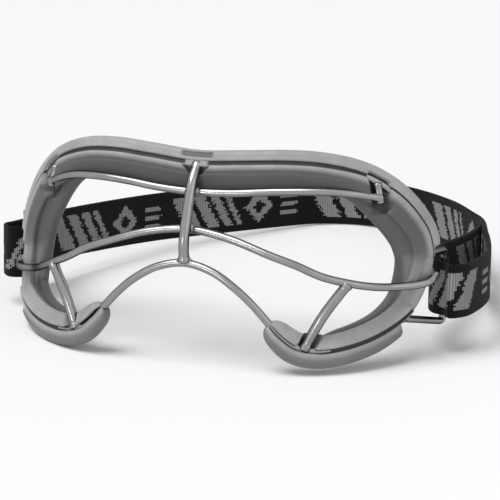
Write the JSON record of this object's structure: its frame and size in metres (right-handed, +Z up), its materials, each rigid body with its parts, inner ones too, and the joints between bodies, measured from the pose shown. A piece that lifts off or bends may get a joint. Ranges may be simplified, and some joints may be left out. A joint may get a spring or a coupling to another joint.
{
  "type": "wire lacrosse goggles",
  "caption": "Wire cage eye protection wrapped to the face, with a soft grooved gasket round its rim and a wide elastic head strap.",
  "frame": {"origin": "on the table, under the middle of the bounding box, with the goggles lying on their cheek pads and on the back of the strap", "axes": "+Z up, -Y the way the wearer looks, +X towards the viewer's right when the goggles face the viewer; the longest way is along Y and the shortest along Z"},
  "size_m": [0.211, 0.2258, 0.0876],
  "materials": {
    "steel_wire": "bright drawn steel wire, welded",
    "silicone": "satin mid grey silicone",
    "webbing": "black ribbed elastic with a grey woven motif",
    "thread": "black bonded thread",
    "slider_plastic": "black moulded acetal"
  },
  "bodies": {
    "cage": {"perimeter_wire": "steel_wire", "brow_bar": "steel_wire", "brow_strut_left": "steel_wire", "brow_strut_right": "steel_wire", "centre_post": "steel_wire", "eye_bar": "steel_wire", "cheek_strut_left": "steel_wire", "cheek_strut_right": "steel_wire", "strap_loop_left": "steel_wire", "strap_loop_right": "steel_wire", "face_gasket": "silicone"},
    "strap": {"head_strap": "webbing", "bar_tack_left": "thread", "bar_tack_right": "thread"},
    "slider": {"strap_slider": "slider_plastic"}
  },
  "joints": [
    {"name": "strap_tilt", "type": "hinge", "parent": "cage", "child": "strap", "pos_m": [-0.0014, -0.0543, 0.0253], "axis": [0.9999, 0.0012, 0.0145], "range_deg": [-4, 6]},
    {"name": "slider_travel", "type": "slide", "parent": "strap", "child": "slider", "axis": [0.2515, 0.9647, -0.0786], "range_m": [-0.01, 0.01]}
  ]
}
